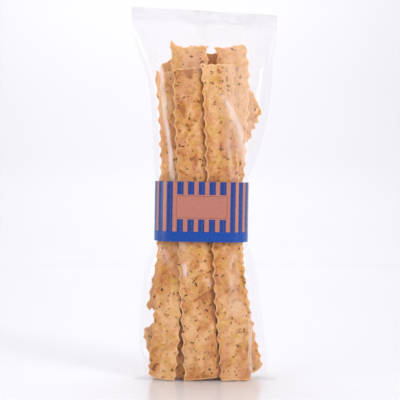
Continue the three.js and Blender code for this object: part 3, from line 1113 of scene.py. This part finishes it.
class BREADPACK_OT_band(bpy.types.Operator):
    """Wraps the printed paper band round the bag and laps its ends at the back"""

    bl_idname = "breadpack.band"
    bl_label = "Paper band"

    def execute(self, context):
        girth = sleeve_outline(np.zeros(1))[2]
        length = girth + BAND_LAP
        grid = {"x_subdivisions": 290, "y_subdivisions": 36, "size": 1}
        band = fresh(bpy.ops.mesh.primitive_grid_add, "paper_band", **grid)
        with editing(band):
            bpy.ops.transform.resize(value=(length * MM, BAND_HEIGHT * MM, 1))
        flat = points_of(band.data)
        start = girth / 2 - BAND_LAP_MIDDLE - BAND_LAP / 2
        from_start, up = flat[:, 0] + length / 2, flat[:, 1]
        along = from_start + start - girth
        place, outward, _ = sleeve_outline(along)
        over = ease(length - BAND_LAP - 5, length - BAND_LAP, from_start)
        past_lap = ease(BAND_LAP, BAND_LAP + 5, from_start)
        buckle = 0.08 * np.sin(along / 11 + up / 19) * np.sin(up / 13 + 1)
        edge = np.abs(up) / (BAND_HEIGHT / 2)
        curl = 0.12 * ease(0.8, 1, edge) * (0.6 + 0.4 * np.sin(along / 8))
        offset = over * (PAPER + 0.1) - 0.12 - 0.1 * past_lap + buckle - curl * (1 - over)
        x, y = (place + outward * offset[:, None]).T
        cos, sin = math.cos(BAND_TILT), math.sin(BAND_TILT)
        turned = np.stack([x * cos + up * sin, y, up * cos - x * sin], 1)
        corners = read(band.data.loops, "vertex_index", kind=np.int32)
        printed = along + PRINT_PINCH * ease(*PINCHED, along)
        flat_map = np.stack([printed, up], 1)[corners] / PRINT_SCALE + PRINT_ORIGIN
        band.data.uv_layers.new(name="print").data.foreach_set("uv", flat_map.ravel())
        move_points(band.data, turned + BAND_CENTRE)
        with editing(band):
            bpy.ops.mesh.flip_normals()
        wall = band.modifiers.new("paper", "SOLIDIFY")
        wall.thickness, wall.offset = PAPER * MM, -1.0
        apply_modifiers(band)
        finish = paper_finish(context.scene.breadpack_band)
        hand_over(band, finish, "band", 40)
        return {"FINISHED"}


# ---- Stage, light and camera

CAMERA_PLACE = (-3.76, -1000.0, 188.0)
CAMERA_DOWN = math.radians(1.158)
CAMERA_LENS, CAMERA_SENSOR = 95.75, 36
BOARD_SIZE, BOARD_MIDDLE = 6, -0.6  # in metres
WALL_HEIGHT, WALL_BEND = 3.2, 1.1

# Name, place, what it is aimed at, width, height, power in watts, and whether the film mirrors it.
SOFTBOXES = (
    ("softbox_left", (-900, -850, 560), (0, 0, 260), 420, 700, 2.4, False),
    ("softbox_rim", (-1150, -330, 480), (0, 0, 240), 450, 760, 4.2, True),
    ("softbox_right", (850, -880, 640), (0, 0, 270), 300, 800, 8.3, False),
    ("softbox_edge", (1080, -620, 460), (0, 0, 240), 160, 700, 1.8, True),
    ("softbox_front", (340, -1150, 620), (0, 0, 280), 420, 700, 1.2, True),
    ("softbox_top", (-60, 420, 1150), (0, 0, 150), 1100, 900, 7.9, False),
    ("softbox_rear", (-60, 1400, 1300), (0, 2400, 200), 2400, 900, 18.8, False),
)

# The light from all round, from in front of the pack to behind it.
SKY = ((0.1, (0.43, 0.345, 0.34)), (0.55, (1.0, 1.0, 1.03)), (0.8, (1.9, 1.92, 1.97)))


class BREADPACK_OT_stage(bpy.types.Operator):
    """Lays the pale board and its swept-up backdrop, and sets the lights and the camera"""

    bl_idname = "breadpack.stage"
    bl_label = "Stage"

    def execute(self, context):
        stage = context.scene.breadpack_stage
        self.lay_board(stage)
        self.hang_lights(context, stage)
        self.set_camera(context)
        return {"FINISHED"}

    def lay_board(self, stage):
        plane = {"size": BOARD_SIZE, "location": (0, BOARD_MIDDLE, 0)}
        board = fresh(bpy.ops.mesh.primitive_plane_add, "pale_board", **plane)
        bpy.ops.object.transform_apply(location=True, rotation=True, scale=True)
        with editing(board):
            bpy.ops.mesh.select_all(action="DESELECT")
            bpy.ops.mesh.select_mode(type="EDGE")
            bpy.ops.object.mode_set(mode="OBJECT")
            for edge in board.data.edges:
                edge.select = all(board.data.vertices[i].co.y > 0 for i in edge.vertices)
            bpy.ops.object.mode_set(mode="EDIT")
            bpy.ops.mesh.extrude_edges_move(TRANSFORM_OT_translate={"value": (0, 0, WALL_HEIGHT)})
            pick_sharp(60)
            bpy.ops.mesh.bevel(offset=WALL_BEND, segments=24, affect="EDGES")
        bpy.ops.object.shade_smooth()
        board.data.materials.append(floor_finish(stage))

    def hang_lights(self, context, stage):
        world = bpy.data.worlds.new("soft_fill")
        world.use_nodes = True
        s = Nodes(world.node_tree)
        around = s.node("TexCoord").outputs["Generated"]
        back = s.node("SeparateXYZ", {0: around}).outputs[1]
        background = world.node_tree.nodes["Background"]
        s.set(background.inputs["Color"], s.ramp(s.math("MULTIPLY_ADD", back, 0.5, 0.5), SKY))
        s.set(background.inputs["Strength"], stage.fill)
        context.scene.world = world
        for name, place, aim, width, height, power, mirrored in SOFTBOXES:
            bpy.ops.object.light_add(type="AREA", location=[value * MM for value in place])
            lamp = context.object
            lamp.name = name
            lamp.data.shape = "RECTANGLE"
            lamp.data.size, lamp.data.size_y = width * MM, height * MM
            lamp.data.energy = stage.softbox * power
            lamp.visible_glossy = mirrored
            lamp.visible_camera = False
            heading = Vector(aim) - Vector(place)
            lamp.rotation_euler = heading.to_track_quat("-Z", "Y").to_euler()

    def set_camera(self, context):
        bpy.ops.object.camera_add(
            location=[value * MM for value in CAMERA_PLACE],
            rotation=(math.pi / 2 - CAMERA_DOWN, 0, 0),
        )
        camera = context.object
        camera.name = "camera"
        camera.data.lens = CAMERA_LENS
        camera.data.sensor_width = CAMERA_SENSOR
        camera.data.clip_start = 0.01
        context.scene.camera = camera
        context.scene.view_settings.view_transform = "Standard"


# ---- The add-on


class BREADPACK_PT_pack(bpy.types.Panel):
    """Breadstick pack"""

    bl_idname = "BREADPACK_PT_pack"
    bl_label = "Breadstick Pack"
    bl_space_type = "VIEW_3D"
    bl_region_type = "UI"
    bl_category = "Breadsticks"

    def draw(self, context):
        for key, settings in SETTINGS.items():
            box = self.layout.box()
            for name in settings.__annotations__:
                box.prop(getattr(context.scene, key), name)
        for operator in OPERATORS:
            self.layout.operator(operator.bl_idname)


OPERATORS = (
    BREADPACK_OT_sticks,
    BREADPACK_OT_seeds,
    BREADPACK_OT_film,
    BREADPACK_OT_band,
    BREADPACK_OT_stage,
)
CLASSES = (*SETTINGS.values(), *OPERATORS, BREADPACK_PT_pack)


def register():
    for item in CLASSES:
        bpy.utils.register_class(item)
    for key, settings in SETTINGS.items():
        setattr(bpy.types.Scene, key, bpy.props.PointerProperty(type=settings))


def unregister():
    for key in SETTINGS:
        delattr(bpy.types.Scene, key)
    for item in reversed(CLASSES):
        bpy.utils.unregister_class(item)


def main():
    register()
    bpy.ops.breadpack.sticks()
    bpy.ops.breadpack.seeds()
    bpy.ops.breadpack.film()
    bpy.ops.breadpack.band()
    bpy.ops.breadpack.stage()


if __name__ == "__main__":
    main()
